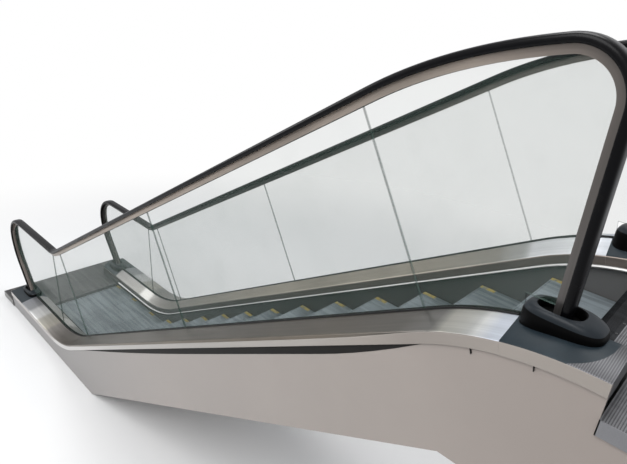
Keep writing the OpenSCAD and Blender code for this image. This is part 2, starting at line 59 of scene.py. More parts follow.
def bentLine(s, off, x0, x1, r0, r1, s1, s2, s3):
    # level up to 0, a bend up to s1, the slope up to s2, a bend back up to s3, then level again
    start, end = x0 - r0 * tan(slope / 2), x1 + r1 * tan(slope / 2)
    if s < 0:
        return start + s, ground + off
    if s < s1:
        return start + (r0 - off) * sin(s / r0), ground + r0 - (r0 - off) * cos(s / r0)
    if s < s2:
        return (start + (r0 - off) * sin(slope) + (s - s1) * cos(slope),
                ground + r0 - (r0 - off) * cos(slope) + (s - s1) * sin(slope))
    if s < s3:
        a = slope - (s - s2) / r1
        return end - (r1 + off) * sin(a), topHeight - r1 + (r1 + off) * cos(a)
    return end + s - s3, topHeight + off


def lineAt(s, off=0.0):
    return bentLine(s, off, 0, run, lowRadius, highRadius, bendEnd, slopeEnd, lineEnd)


def headingAt(s):
    if s <= 0 or s >= lineEnd:
        return 0.0
    if s < bendEnd:
        return s / lowRadius
    if s <= slopeEnd:
        return slope
    return slope - (s - slopeEnd) / highRadius


def lengthAt(x, off=0.0):  # length along the line at which a piece square to it reaches x
    if x > run + highTangent:
        return lineEnd + x - run - highTangent
    if x < -lowTangent:
        return x + lowTangent
    return lineEnd - highRadius * asin((run + highTangent - x) / (highRadius + off))


def linePlaces(a, b, straight=0.35):
    # places of (x, z, heading, length) between two lengths, close in the bends and wide on the slope
    marks = {a, b}
    for i in range(flight["bendSteps"] + 1):
        marks.add(bendEnd * i / flight["bendSteps"])
        marks.add(slopeEnd + (lineEnd - slopeEnd) * i / flight["bendSteps"])
    spans = int((slopeEnd - bendEnd) / straight)
    for i in range(1, spans):
        marks.add(bendEnd + (slopeEnd - bendEnd) * i / spans)
    return [(*lineAt(s), headingAt(s), s) for s in sorted(marks) if a <= s <= b]


# sockets that can be added and multiplied, and one bench that makes every node
def worked(operation, swapped=False):
    def result(self, other):
        pair = (other, self) if swapped else (self, other)
        return self.bench.maths(operation, *pair)
    return result


class Wire:  # one output of a node, the first unless another is asked for
    def __init__(self, bench, node, output=0):
        self.bench, self.node, self.output = bench, node, output

    def out(self, output):
        return Wire(self.bench, self.node, output)

    __add__, __radd__ = worked("ADD"), worked("ADD", True)
    __sub__, __rsub__ = worked("SUBTRACT"), worked("SUBTRACT", True)
    __mul__, __rmul__ = worked("MULTIPLY"), worked("MULTIPLY", True)
    __truediv__, __rtruediv__ = worked("DIVIDE"), worked("DIVIDE", True)
    __pow__, __rpow__ = worked("POWER"), worked("POWER", True)
    __gt__, __lt__ = worked("GREATER_THAN"), worked("LESS_THAN")


def colour(tone):  # a triple becomes what a colour socket takes, and a wire stays as it is
    return tone if isinstance(tone, Wire) else (*tone, 1.0)


class Bench:
    def __init__(self, tree):
        self.tree = tree

    def add(self, kind, values=None, **settings):  # the settings first, then values or wires by socket
        node = self.tree.nodes.new(kind)
        for key, value in settings.items():
            if key == "stops":
                while len(node.color_ramp.elements) < len(value):
                    node.color_ramp.elements.new(0.5)
                for element, (place, tone) in zip(node.color_ramp.elements, value):
                    element.position, element.color = place, tone
            else:
                setattr(node, key, value)
        for key, value in (values or {}).items():
            if isinstance(value, Wire):
                self.tree.links.new(value.node.outputs[value.output], node.inputs[key])
            else:
                node.inputs[key].default_value = value
        return Wire(self, node)

    def maths(self, operation, first, second=0.0):
        return self.add("ShaderNodeMath", {0: first, 1: second}, operation=operation)

    def vector(self, x=0.0, y=0.0, z=0.0):
        return self.add("ShaderNodeCombineXYZ", {0: x, 1: y, 2: z})

    def stored(self, name, kind):  # what each point carries under that name
        return self.add("GeometryNodeInputNamedAttribute", {"Name": name}, data_type=kind)


class Paint(Bench):
    def __init__(self, name):
        self.material = bpy.data.materials.new(name)
        self.material.use_nodes = True
        super().__init__(self.material.node_tree)
        self.tree.nodes.clear()
        self.place = self.add("ShaderNodeTexCoord").out("Object")

    def noise(self, scale, detail=4.0, stretch=None, place=None):
        place = place or self.place
        if stretch:
            place = self.add("ShaderNodeVectorMath", {0: place, 1: stretch}, operation="MULTIPLY")
        return self.add("ShaderNodeTexNoise", {
            "Vector": place, "Scale": scale, "Detail": detail, "Roughness": 0.55})

    def along(self):  # the piece's own lengthwise and crosswise metres
        return self.add("ShaderNodeUVMap", uv_map="run")

    def fade(self, value, low, high):
        return self.add("ShaderNodeMapRange", {0: value, 1: low, 2: high}, interpolation_type="SMOOTHSTEP")

    def blend(self, factor, first, second, way="MIX"):
        return self.add("ShaderNodeMix", {0: factor, 6: colour(first), 7: colour(second)},
                        data_type="RGBA", blend_type=way).out(2)

    def toned(self, tonesAndPaintedLight, solid=False):
        # one colour, or a list of colours at metres along the piece, which carries painted light and shade;
        # on a plain solid along its own x
        if not isinstance(tonesAndPaintedLight, list):
            return tonesAndPaintedLight
        first, last = tonesAndPaintedLight[0][0], tonesAndPaintedLight[-1][0]
        along = self.add("ShaderNodeSeparateXYZ", {0: self.place if solid else self.along()})
        stops = [((metres - first) / (last - first), colour(tone)) for metres, *tone in tonesAndPaintedLight]
        return self.add("ShaderNodeValToRGB", {0: (along - first) / (last - first)}, stops=stops)

    def shaded(self, tone, shade, dark):
        return self.blend(1.0, tone, self.blend(shade, (dark, dark, dark), (1, 1, 1)), "MULTIPLY")

    def bump(self, height, distance, strength=0.4):
        return self.add("ShaderNodeBump", {"Height": height, "Distance": distance, "Strength": strength})

    def finish(self, values):
        shader = self.add("ShaderNodeBsdfPrincipled", values)
        self.add("ShaderNodeOutputMaterial", {"Surface": shader})
        return self.material


def steelPaint(name, tonesAndPaintedLight, dark=0.72, rough=0.27, metal=1.0):
    # sheet brushed along its length, with long streaks and faint cloudy smears
    paint = Paint(name)
    lines = paint.noise(1.0, 3.0, (1.5, 230.0, 1.0), paint.along())
    broad = paint.noise(1.0, 4.0, (1.3, 26.0, 1.0), paint.along())
    smear = paint.noise(2.3)
    shade = paint.fade(lines * 0.15 + broad * 0.5 + smear * 0.35, 0.36, 0.68)
    return paint.finish({
        # the colour along the piece, with its painted light and shade, comes from the tones
        "Base Color": paint.shaded(paint.toned(tonesAndPaintedLight), shade, dark),
        "Metallic": metal,
        "Roughness": (smear - 0.5) * 0.08 + (lines - 0.5) * 0.05 + rough,
        "Normal": paint.bump(lines, 0.00001, 0.1)})


def coatPaint(name, tonesAndPaintedLight, dark=0.88, rough=0.42, grain=900.0, depth=0.00015, specular=0.45, solid=False):
    # stove enamel: fine orange peel and slow shifts of tone
    paint = Paint(name)
    cloud = paint.noise(1.1, 5.0)
    return paint.finish({
        # a list of tones paints light and shade along the piece
        "Base Color": paint.shaded(paint.toned(tonesAndPaintedLight, solid), paint.fade(cloud, 0.32, 0.72), dark),
        "Roughness": (cloud - 0.5) * 0.18 + rough,
        "Specular IOR Level": specular,
        "Normal": paint.bump(paint.noise(grain, 2.0), depth, 0.35)})


def plasticPaint(name, tone, dark, rough=0.4, grain=700.0, specular=0.3):
    # moulded plastic with a fine leathery grain and dust in the low places
    paint = Paint(name)
    cells = paint.add("ShaderNodeTexVoronoi", {"Vector": paint.place, "Scale": grain}, feature="SMOOTH_F1")
    dust = paint.fade(paint.noise(9.0, 6.0), 0.52, 0.78)
    return paint.finish({
        "Base Color": paint.blend(dust * 0.5, dark, tone),
        "Roughness": dust * 0.16 + rough,
        "Specular IOR Level": specular,
        "Normal": paint.bump(cells, 0.0002)})


def rubberPaint():
    # extruded rubber with a soft shine, fine lines along it and scuffed patches
    paint = Paint("handrail rubber")
    lines = paint.noise(1.0, 2.0, (2.0, 700.0, 1.0), paint.along())
    scuff = paint.fade(paint.noise(5.0, 6.0), 0.5, 0.8)
    return paint.finish({
        "Base Color": paint.blend(scuff * 0.6, (0.002, 0.002, 0.0025), (0.007, 0.0065, 0.0065)),
        "Roughness": scuff * 0.12 + (lines - 0.5) * 0.08 + 0.24,
        "Specular IOR Level": 0.13,
        "Normal": paint.bump(lines, 0.0003, 0.25)})


def glassPaint():
    # clear tempered glass, greener and denser at its cut edges
    paint = Paint("balustrade glass")
    normal = paint.add("ShaderNodeNewGeometry").out("Normal")
    aside = paint.add("ShaderNodeSeparateXYZ", {0: normal}).out(1)
    edge = 1 - paint.fade(paint.maths("ABSOLUTE", aside), 0.5, 0.95)
    facing = paint.add("ShaderNodeLayerWeight", {"Blend": 0.35}).out(1)
    smudge = paint.fade(paint.noise(3.5, 5.0), 0.45, 0.8)
    return paint.finish({
        "Base Color": paint.blend(edge, (0.10, 0.155, 0.13), (0.03, 0.07, 0.055)),
        "Roughness": smudge * 0.04 + 0.03,
        "Specular IOR Level": 0.5,
        "Alpha": edge * 0.35 + facing ** 3 * 0.3 + smudge * 0.02 + 0.09})


def treadPaint(name, tone, dark, metal=0.7, rough=0.38, specular=0.5):
    # die cast aluminium: worn in streaks along the cleats, and dirtier in patches
    paint = Paint(name)
    wear = paint.noise(3.0, 5.0)
    fine = paint.noise(260.0, 3.0)
    streak = paint.noise(1.0, 3.0, (1.5, 30.0, 1.5))
    shade = paint.fade(wear * 0.35 + fine * 0.15 + streak * 0.6, 0.42, 0.68)
    return paint.finish({
        "Base Color": paint.blend(shade, dark, tone),
        "Metallic": metal,
        "Roughness": (wear - 0.5) * 0.2 + rough,
        "Specular IOR Level": specular,
        "Normal": paint.bump(fine, 0.0003)})


def insertPaint():
    # yellow corner insert, scuffed through to the grey metal
    paint = Paint("corner insert")
    worn = paint.fade(paint.noise(38.0, 5.0), 0.5, 0.62)
    return paint.finish({
        "Base Color": paint.blend(worn, (0.50, 0.40, 0.12), (0.24, 0.24, 0.20)),
        "Roughness": worn * 0.1 + 0.45,
        "Normal": paint.bump(worn, 0.0004)})


def platePaint(name, capX, reach, width, pitch):
    # the housing's slate plate ends in an oval round the dome, past which the sheet is ribbed metal
    paint = Paint(name)
    parts = paint.add("ShaderNodeSeparateXYZ", {0: paint.place})
    x, y = parts.out(0), parts.out(1)
    far = (x - capX) / reach
    aside = (paint.maths("ABSOLUTE", y) - glassY) / width
    outside = (x > capX) * paint.fade(far ** 2 + aside ** 2, 0.99, 1.02)
    ribs = paint.maths("SINE", x * (2 * pi / pitch))
    # the ribbed metal is painted darker in the hollows between the ribs, a painted shade
    ribShade = paint.fade(ribs, -0.5, 0.6)
    dust = paint.noise(7.0, 6.0)
    slate = paint.blend(paint.fade(dust, 0.45, 0.75), (0.012, 0.020, 0.026), (0.020, 0.031, 0.039))
    metal = paint.blend(ribShade, (0.07, 0.07, 0.075), (0.12, 0.12, 0.125))
    return paint.finish({
        "Base Color": paint.blend(outside, slate, metal),
        "Metallic": outside * 0.6,
        "Roughness": dust * 0.16 + 0.32,
        "Specular IOR Level": 0.2,
        "Normal": paint.bump(ribs * outside + dust * 0.1, 0.0003, 0.3)})


# painted light and shade along each piece, as (metres, red, green, blue): painted reflections brighten the
# decks at the bends, the slope is painted darker, and the other pieces are painted lighter or darker along
# their length where the light falls on them
outerPaintedLight = [
    (-0.78, 0.30, 0.31, 0.33), (-0.54, 0.34, 0.345, 0.35), (-0.49, 0.64, 0.64, 0.635),
    (-0.32, 0.68, 0.68, 0.66), (-0.28, 0.46, 0.445, 0.40), (-0.08, 0.44, 0.415, 0.355),
    (-0.03, 0.30, 0.285, 0.265), (0.25, 0.22, 0.20, 0.18), (0.45, 0.18, 0.158, 0.13),
    (2.4, 0.18, 0.155, 0.125), (4.45, 0.17, 0.148, 0.122), (4.85, 0.20, 0.185, 0.165),
    (5.0, 0.27, 0.26, 0.245), (5.04, 0.62, 0.60, 0.54), (5.10, 0.68, 0.67, 0.62),
    (5.145, 0.76, 0.76, 0.74), (5.155, 0.96, 0.96, 0.94), (5.18, 0.92, 0.94, 0.97),
    (5.19, 0.82, 0.86, 0.94), (5.25, 0.80, 0.85, 0.94)]
innerPaintedLight = [
    (-0.78, 0.30, 0.29, 0.28), (-0.16, 0.34, 0.33, 0.31), (-0.12, 0.64, 0.63, 0.60),
    (0.04, 0.62, 0.61, 0.58), (0.08, 0.36, 0.35, 0.33), (0.30, 0.28, 0.265, 0.245),
    (1.3, 0.32, 0.295, 0.25), (2.6, 0.41, 0.37, 0.305), (4.2, 0.37, 0.335, 0.28),
    (4.7, 0.38, 0.36, 0.32), (4.76, 0.46, 0.45, 0.42), (4.86, 0.50, 0.50, 0.49),
    (4.90, 0.86, 0.87, 0.88), (5.10, 0.93, 0.95, 0.96), (5.18, 0.84, 0.86, 0.89),
    (5.21, 0.46, 0.48, 0.51), (5.25, 0.42, 0.44, 0.47)]
bandPaintedLight = [
    (-0.78, 0.13, 0.115, 0.105), (0.5, 0.10, 0.09, 0.085), (2.5, 0.15, 0.13, 0.115),
    (4.6, 0.20, 0.17, 0.15), (5.25, 0.24, 0.205, 0.18)]
lipPaintedLight = [
    (-0.78, 0.50, 0.47, 0.45), (0.05, 0.50, 0.47, 0.45), (0.22, 0.66, 0.64, 0.62),
    (1.2, 0.58, 0.56, 0.54), (2.2, 0.445, 0.425, 0.405), (3.2, 0.375, 0.352, 0.33),
    (4.3, 0.36, 0.332, 0.304), (4.7, 0.31, 0.275, 0.245), (4.9, 0.265, 0.235, 0.21),
    (5.25, 0.32, 0.285, 0.255)]
cladPaintedLight = [
    (-1.5, 0.28, 0.274, 0.274), (0.5, 0.31, 0.293, 0.284), (2.0, 0.355, 0.320, 0.298),
    (3.6, 0.345, 0.305, 0.278), (4.6, 0.325, 0.28, 0.252)]
skirtPaintedLight = [
    (-1.5, 0.050, 0.050, 0.048), (2.0, 0.034, 0.033, 0.032), (3.4, 0.040, 0.038, 0.036),
    (4.0, 0.085, 0.084, 0.083), (4.7, 0.14, 0.138, 0.135)]
guidePaintedLight = [
    (0.0, 0.24, 0.21, 0.19), (1.1, 0.26, 0.23, 0.205), (1.95, 0.28, 0.24, 0.21),
    (2.2, 0.42, 0.36, 0.305), (4.5, 0.47, 0.40, 0.34), (6.8, 0.48, 0.41, 0.35),
    (7.05, 0.33, 0.285, 0.25), (7.25, 0.18, 0.16, 0.145), (8.1, 0.13, 0.122, 0.118)]
# the guide's inner half is the same bronze painted darker along its length, a painted shade
guideInnerPaintedShade = [
    (0.0, 0.09, 0.083, 0.078), (2.2, 0.045, 0.042, 0.04), (4.4, 0.05, 0.046, 0.044),
    (5.5, 0.085, 0.078, 0.073), (6.3, 0.16, 0.145, 0.13), (6.9, 0.16, 0.145, 0.13),
    (7.4, 0.10, 0.092, 0.085), (8.1, 0.08, 0.074, 0.07)]
# the deck, band, lip, cladding, skirt and guide finishes take the painted light and shade from the lists
# above
paints = {
    "rubber": rubberPaint(),
    "guide": steelPaint("guide bronze", guidePaintedLight, dark=0.7, rough=0.34, metal=0.7),
    "guideInner": steelPaint("guide dark bronze", guideInnerPaintedShade, dark=0.7, rough=0.34, metal=0.7),
    "outerSteel": steelPaint("outer deck steel", outerPaintedLight, dark=0.76, rough=0.3),
    "innerSteel": steelPaint("inner deck steel", innerPaintedLight, dark=0.78, rough=0.34, metal=0.9),
    "bandSteel": steelPaint("inner band steel", bandPaintedLight, dark=0.82, rough=0.38, metal=0.8),
    # the brush carrier is aluminium painted near white, a painted highlight
    "trimPaintedHighlight": steelPaint("bright carrier", (0.95, 0.95, 0.94), dark=0.86, rough=0.22, metal=0.35),
    "clampSteel": treadPaint("clamp aluminium", (0.34, 0.34, 0.335), (0.27, 0.27, 0.265),
                             metal=0.8, rough=0.4),
    "lip": coatPaint("lip enamel", lipPaintedLight, dark=0.93, rough=0.36),
    "cladding": coatPaint("cladding enamel", cladPaintedLight, dark=0.92, rough=0.44, solid=True),
    "underside": coatPaint("underside enamel", (0.34, 0.32, 0.305), dark=0.82, rough=0.5),
    # a black strip under the lip stands for the gap's shadow, a painted shadow; the dark joint clips share
    # this finish
    "gap": coatPaint("shadow gap black", (0.014, 0.013, 0.012), dark=0.6, rough=0.6, specular=0.15),
    "skirt": coatPaint("skirt coating", skirtPaintedLight,
                       dark=0.8, rough=0.34, depth=0.00002, specular=0.4, solid=True),
    "structure": coatPaint("structure grey", (0.13, 0.135, 0.14),
                           dark=0.65, rough=0.55, grain=300.0, depth=0.0005),
    # the riser and groove finishes are the tread aluminium painted darker, as painted shade on the risers and
    # in the grooves and under the treads
    "tread": treadPaint("tread aluminium", (0.53, 0.59, 0.62), (0.30, 0.345, 0.37)),
    "riser": treadPaint("riser aluminium", (0.25, 0.28, 0.30), (0.11, 0.13, 0.14)),
    "groove": treadPaint("groove aluminium", (0.13, 0.15, 0.16), (0.06, 0.07, 0.078)),
    "yellow": insertPaint(),
    # the landing bases between the ribs are painted darker as shade, and the lower landing is the same
    # aluminium painted darker as shade
    "landing": treadPaint("upper landing aluminium", (0.25, 0.25, 0.26), (0.19, 0.19, 0.20),
                          metal=0.6, rough=0.46),
    "upperGroovePaintedShade": treadPaint("upper landing groove", (0.13, 0.13, 0.135), (0.09, 0.09, 0.095),
                                metal=0.6, rough=0.46),
    "lowerLandingPaintedShade": treadPaint("lower landing aluminium", (0.22, 0.215, 0.21), (0.13, 0.13, 0.13), metal=0.6),
    "lowerGroovePaintedShade": treadPaint("lower landing groove", (0.06, 0.06, 0.06), (0.03, 0.03, 0.03), metal=0.6),
    # the comb is dark, and is painted near black as well, a painted shade along the comb line
    "comb": treadPaint("comb aluminium", (0.022, 0.023, 0.025), (0.010, 0.010, 0.011),
                       metal=0.2, rough=0.5, specular=0.15),
    "screw": treadPaint("screw steel", (0.22, 0.22, 0.22), (0.13, 0.13, 0.13), metal=0.9, rough=0.36),
    "slate": plasticPaint("housing slate", (0.020, 0.031, 0.039), (0.012, 0.020, 0.026),
                          rough=0.42, specular=0.2),
    # the dark plastic dome's top bands are painted slate as a painted highlight, and its sides and mouth near
    # black as painted shade
    "domePaintedHighlight": plasticPaint("housing cover", (0.022, 0.028, 0.034), (0.012, 0.016, 0.020),
                           rough=0.38, specular=0.2),
    "domeBlackPaintedShade": plasticPaint("housing black", (0.003, 0.003, 0.0035), (0.001, 0.001, 0.001),
                             rough=0.36, specular=0.07),
    "sealRubber": plasticPaint("seal rubber", (0.012, 0.012, 0.012), (0.004, 0.004, 0.004),
                               rough=0.5, grain=1500.0),
    "bristle": plasticPaint("bristle black", (0.02, 0.02, 0.02), (0.008, 0.008, 0.008),
                            rough=0.6, grain=1500.0),
    "glass": glassPaint(),
}
print("finishes made,", len(paints))


def settle(piece, slot, *replaced):
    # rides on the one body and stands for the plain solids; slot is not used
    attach(piece, "root")
    if replaced:
        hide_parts(*replaced)


def objectFrom(name, data):
    made = bpy.data.objects.new(name, data)
    bpy.context.scene.collection.objects.link(made)
    return made


def meshFrom(name, bm, materials):
    mesh = bpy.data.meshes.new(name)
    bm.to_mesh(mesh)
    bm.free()
    for material in materials:
        mesh.materials.append(material)
    return mesh


def pieceFrom(name, bm, finishes, sharp=35.0):
    # smooth over the round stretches, with a hard line at every turn of more than sharp degrees
    bmesh.ops.recalc_face_normals(bm, faces=bm.faces)
    mesh = meshFrom(name, bm, [paints[finish] for finish in finishes])
    mesh.polygons.foreach_set("use_smooth", [True] * len(mesh.polygons))
    mesh.set_sharp_from_angle(angle=radians(sharp))
    return objectFrom(name, mesh)


def sweepInto(bm, places, section, side=1.0, change=None):
    # carries a section of (y, off, material) along the places; change(length) may redraw it on the way
    uv = bm.loops.layers.uv.get("run") or bm.loops.layers.uv.new("run")
    count = len(section)
    girth = [0.0]
    for i in range(count):
        a, b = section[i], section[(i + 1) % count]
        girth.append(girth[-1] + hypot(b[0] - a[0], b[1] - a[1]))
    rings = [[bm.verts.new((x - p[1] * sin(turn), side * p[0], z + p[1] * cos(turn)))
              for p in (change(s) if change else section)] for x, z, turn, s in places]
    for k in range(len(rings) - 1):
        s0, s1 = places[k][3], places[k + 1][3]
        for i in range(count):
            j = (i + 1) % count
            face = bm.faces.new((rings[k][i], rings[k + 1][i], rings[k + 1][j], rings[k][j]))
            face.material_index = section[i][2] if len(section[i]) > 2 else 0
            corners = ((s0, girth[i]), (s1, girth[i]), (s1, girth[i + 1]), (s0, girth[i + 1]))
            for loop, corner in zip(face.loops, corners):
                loop[uv].uv = corner
    for ring in (rings[0], rings[-1]):
        bm.faces.new(ring)


def sweepPiece(name, places, section, finishes, side=1.0, sharp=35.0, change=None):
    bm = bmesh.new()
    sweepInto(bm, places, section, side, change)
    return pieceFrom(name, bm, finishes, sharp)


def loftInto(bm, rings, secondBands=()):
    # closes a skin over the rings; the bands whose number is in secondBands take the second finish
    made = [[bm.verts.new(p) for p in ring] for ring in rings]
    for k, (a, b) in enumerate(zip(made, made[1:])):
        for i in range(len(a)):
            j = (i + 1) % len(a)
            bm.faces.new((a[i], a[j], b[j], b[i])).material_index = int(k in secondBands)
    for ring in (made[0], made[-1]):
        bm.faces.new(ring)


def boxInto(bm, low, high):
    made = bmesh.ops.create_cube(bm, size=1.0)["verts"]
    centre = (Vector(low) + Vector(high)) / 2
    size = Vector(high) - Vector(low)
    bmesh.ops.transform(bm, verts=made, matrix=Matrix.Translation(centre) @ Matrix.Diagonal((*size, 1.0)))


def softened(points):  # cuts the corners of a closed outline
    return [tuple(a[k] * (1 - t) + b[k] * t for k in range(2))
            for a, b in zip(points, points[1:] + points[:1]) for t in (0.25, 0.75)]


hands = {"right": -1.0, "left": 1.0}

# handrail: path from the lower inlet round the newels to the upper inlet, and half of each section
handrail = {
    "capHeight": 0.045, "capLength": 0.28, "sink": 0.03, "turnSteps": 20,
    "lowNewel": 1.50, "lowNewelRadius": 0.28, "tuckRadius": 0.52, "tuckLean": radians(34),
    "highTurn": radians(10), "highNewelRadius": 0.17,
    "belt": [(0.024, -0.001), (0.024, -0.0115), (0.033, -0.012), (0.0385, -0.0085), (0.040, -0.002),
             (0.0398, 0.006), (0.0365, 0.0135), (0.029, 0.0185), (0.016, 0.0208)],
    "guide": [(0.0235, -0.0015), (0.0235, -0.0062), (0.0123, -0.0085), (0.0123, -0.040), (0.0063, -0.040),
              (0.0063, -0.020)],
}


def railPlaces():
    r, lean, tuck = handrail["lowNewelRadius"], handrail["tuckLean"], handrail["tuckRadius"]
    front, n = -handrail["lowNewel"], handrail["turnSteps"]
    middle = ground + flight["rail"] - r
    x, z = front + tuck - tuck * cos(lean), middle - tuck * sin(lean)
    drop = (z - ground - sealTop - handrail["capHeight"]) / cos(lean)
    inlet = x + drop * sin(lean)
    drop += handrail["sink"]
    path = [(x + drop * sin(lean), z - drop * cos(lean), pi / 2 + lean)]
    for i in range(n // 2 + 1):
        a = lean * (1 - 2 * i / n)
        path.append((front + tuck - tuck * cos(a), middle - tuck * sin(a), pi / 2 + a))
    for i in range(1, n + 1):
        a = pi / 2 * (1 - i / n)
        path.append((front + r - r * sin(a), middle + r * cos(a), a))
    turnAt = lineEnd - highRadius * handrail["highTurn"]
    path += [(*lineAt(s, flight["rail"]), turn) for *_, turn, s in linePlaces(0.0, turnAt)]
    r, turn = handrail["highNewelRadius"], handrail["highTurn"]
    tx, tz = lineAt(turnAt, flight["rail"])
    cx, cz = tx + r * sin(turn), tz - r * cos(turn)
    for i in range(1, n + 1):
        a = turn - (pi / 2 + turn) * i / n
        path.append((cx - r * sin(a), cz + r * cos(a), a))
    path.append((cx + r, topHeight + sealTop + handrail["capHeight"] - handrail["sink"], -pi / 2))
    places, length = [], 0.0
    for k, p in enumerate(path):
        length += hypot(p[0] - path[k - 1][0], p[1] - path[k - 1][1]) if k else 0.0
        places.append((*p, length))
    return places, inlet, cx + r


def bothHalves(points):  # the outer half in the first finish and the inner half in the second
    return ([(glassY + y, z, 0) for y, z in points]
            + [(glassY - y, z, 1) for y, z in reversed(points)])


rails, lowCapX, highCapX = railPlaces()
beltSection = softened([point[:2] for point in bothHalves(handrail["belt"])])
guideSection = bothHalves(handrail["guide"])
for hand, side in hands.items():
    settle(sweepPiece(hand + "_handrail_belt", rails, beltSection, ["rubber"], side, sharp=50.0),
           "grip", hand + "_handrail")
    settle(sweepPiece(hand + "_guide_profile", rails, guideSection, ["guide", "guideInner"], side),
           "guide", hand + "_handrail_guide")
print("handrails made")

# decks: steel outside and inside the glass, the painted lip with a black strip under it as a painted shadow
# of its gap, dark joint clips, and the gaskets
deck = {
    "fall": 0.028, "sheet": 0.008, "lipHeight": 0.052, "sealWidth": 0.008, "nick": 0.002, "underFold": 0.003,
    "edgeRound": [(0.0008, -0.0022), (0.0035, 0.0), (0.012, 0.0019)],
    "seam": 0.0035, "seamDeep": 0.018, "seamStep": 0.0015, "seamFall": (0.2, 1.4), "seamRise": (4.35, 4.85),
    "bandTop": 0.100, "bandFoot": 0.020, "bandThick": 0.005,
    "bandFold": [(0.012, 0.0063), (0.008, 0.004), (0.003, -0.001), (0.0, -0.005)],
    "bandReturn": [(0.005, -0.006), (0.012, -0.002)],
    "paintedShadowY": 0.0118, "paintedShadowThick": 0.0012, "paintedShadowBelow": 0.0002, "paintedShadowSlant": 0.0005,
    "paintedShadowMost": 0.042, "paintedShadowLeast": 0.0012, "paintedShadowOpen": (1.0, 3.2), "paintedShadowClose": (4.35, 4.96), "paintedShadowEnd": 0.30,
    "paintedShadowStep": 0.12,
    "clips": (5.14, 5.345), "clipHalf": 0.0012, "clipDeep": 0.0085, "clipProud": 0.0002,
    "clipDown": 0.020, "clipUp": 0.016,
}
gasket = {"width": 0.0077, "deep": 0.010, "shoulder": 0.003, "top": 0.006, "taper": 0.0017, "endGap": 0.002}
deckLow = lengthAt(lowCapX + handrail["capLength"] / 2 + fit)
deckHigh = lengthAt(highCapX - handrail["capLength"] / 2 - fit, sealTop)
deckPlaces = linePlaces(deckLow, deckHigh)
glassInner, glassOuter = glassY - flight["glassHalf"], glassY + flight["glassHalf"]
outerY, innerY = glassOuter + deck["sealWidth"], glassInner - deck["sealWidth"]
slab, edge = deck["sheet"], sealTop - deck["fall"]
lipLow, underEdge = edge - deck["lipHeight"], edge - slab + deck["underFold"]
bandTop, bandFoot, bandInside = deck["bandTop"], deck["bandFoot"], lipY + deck["bandThick"]
bandFold = [(lipY + y, bandTop + z) for y, z in deck["bandFold"]]
innerSection = [(innerY, sealTop - slab, 0), (innerY, sealTop, 0),
                *[(y, z, int(k > 1)) for k, (y, z) in enumerate(bandFold)],
                (lipY, bandFoot, 1), (bandInside, bandFoot, 1),
                *[(lipY + y, bandTop + z, 1 - k) for k, (y, z) in enumerate(deck["bandReturn"])]]


def swelling(s, rising, falling):  # 0 at both ends and 1 between, with soft shoulders
    up = min(1.0, max(0.0, (s - rising[0]) / (rising[1] - rising[0])))
    down = min(1.0, max(0.0, (falling[1] - s) / (falling[1] - falling[0])))
    return up * (2 - up) * down * (2 - down)


def outerSection(s):
    # the steel folds over the edge and meets the painted lip in a fine seam, lower on the slope
    seam = deck["seam"] + (deck["seamDeep"] - deck["seam"]) * swelling(s, deck["seamFall"], deck["seamRise"])
    join, back, nick, step = edge - seam, edgeY - slab, deck["nick"], deck["seamStep"]
    return [(outerY, sealTop, 0), (outerY, sealTop - slab, 0), (back, underEdge, 1),
            (back, lipLow + nick, 1), (back + nick, lipLow, 1), (edgeY - nick, lipLow, 1),
            (edgeY, lipLow + nick, 1), (edgeY, join - 2 * step, 1), (edgeY - step, join - step, 1),
            (edgeY - step, join, 0), (edgeY - step / 3, join + step / 3, 0),
            *[(edgeY - y, edge + z, 0) for y, z in deck["edgeRound"]]]


def paintedShadowSection(s):
    # the black strip under the lip, a painted shadow of the gap there, is tallest in the middle of the flight
    # and thins to a hairline at both ends
    share = swelling(s, deck["paintedShadowOpen"], deck["paintedShadowClose"])
    depth = deck["paintedShadowLeast"] + (deck["paintedShadowMost"] - deck["paintedShadowLeast"]) * share
    inner, top = flight["cladY"] + deck["paintedShadowY"], lipLow - deck["paintedShadowBelow"]
    outer = inner + deck["paintedShadowThick"]
    return [(inner, top), (outer, top), (outer, top - depth + deck["paintedShadowSlant"]), (inner, top - depth)]


def gasketSection(y):  # a strip beside the glass, whose top tapers to both sides
    width, bottom, shoulder = gasket["width"], sealTop - gasket["deep"], sealTop + gasket["shoulder"]
    top, taper = sealTop + gasket["top"], gasket["taper"]
    return [(y, bottom), (y + width, bottom), (y + width, shoulder), (y + width - taper, top),
            (y + taper, top), (y, shoulder)]


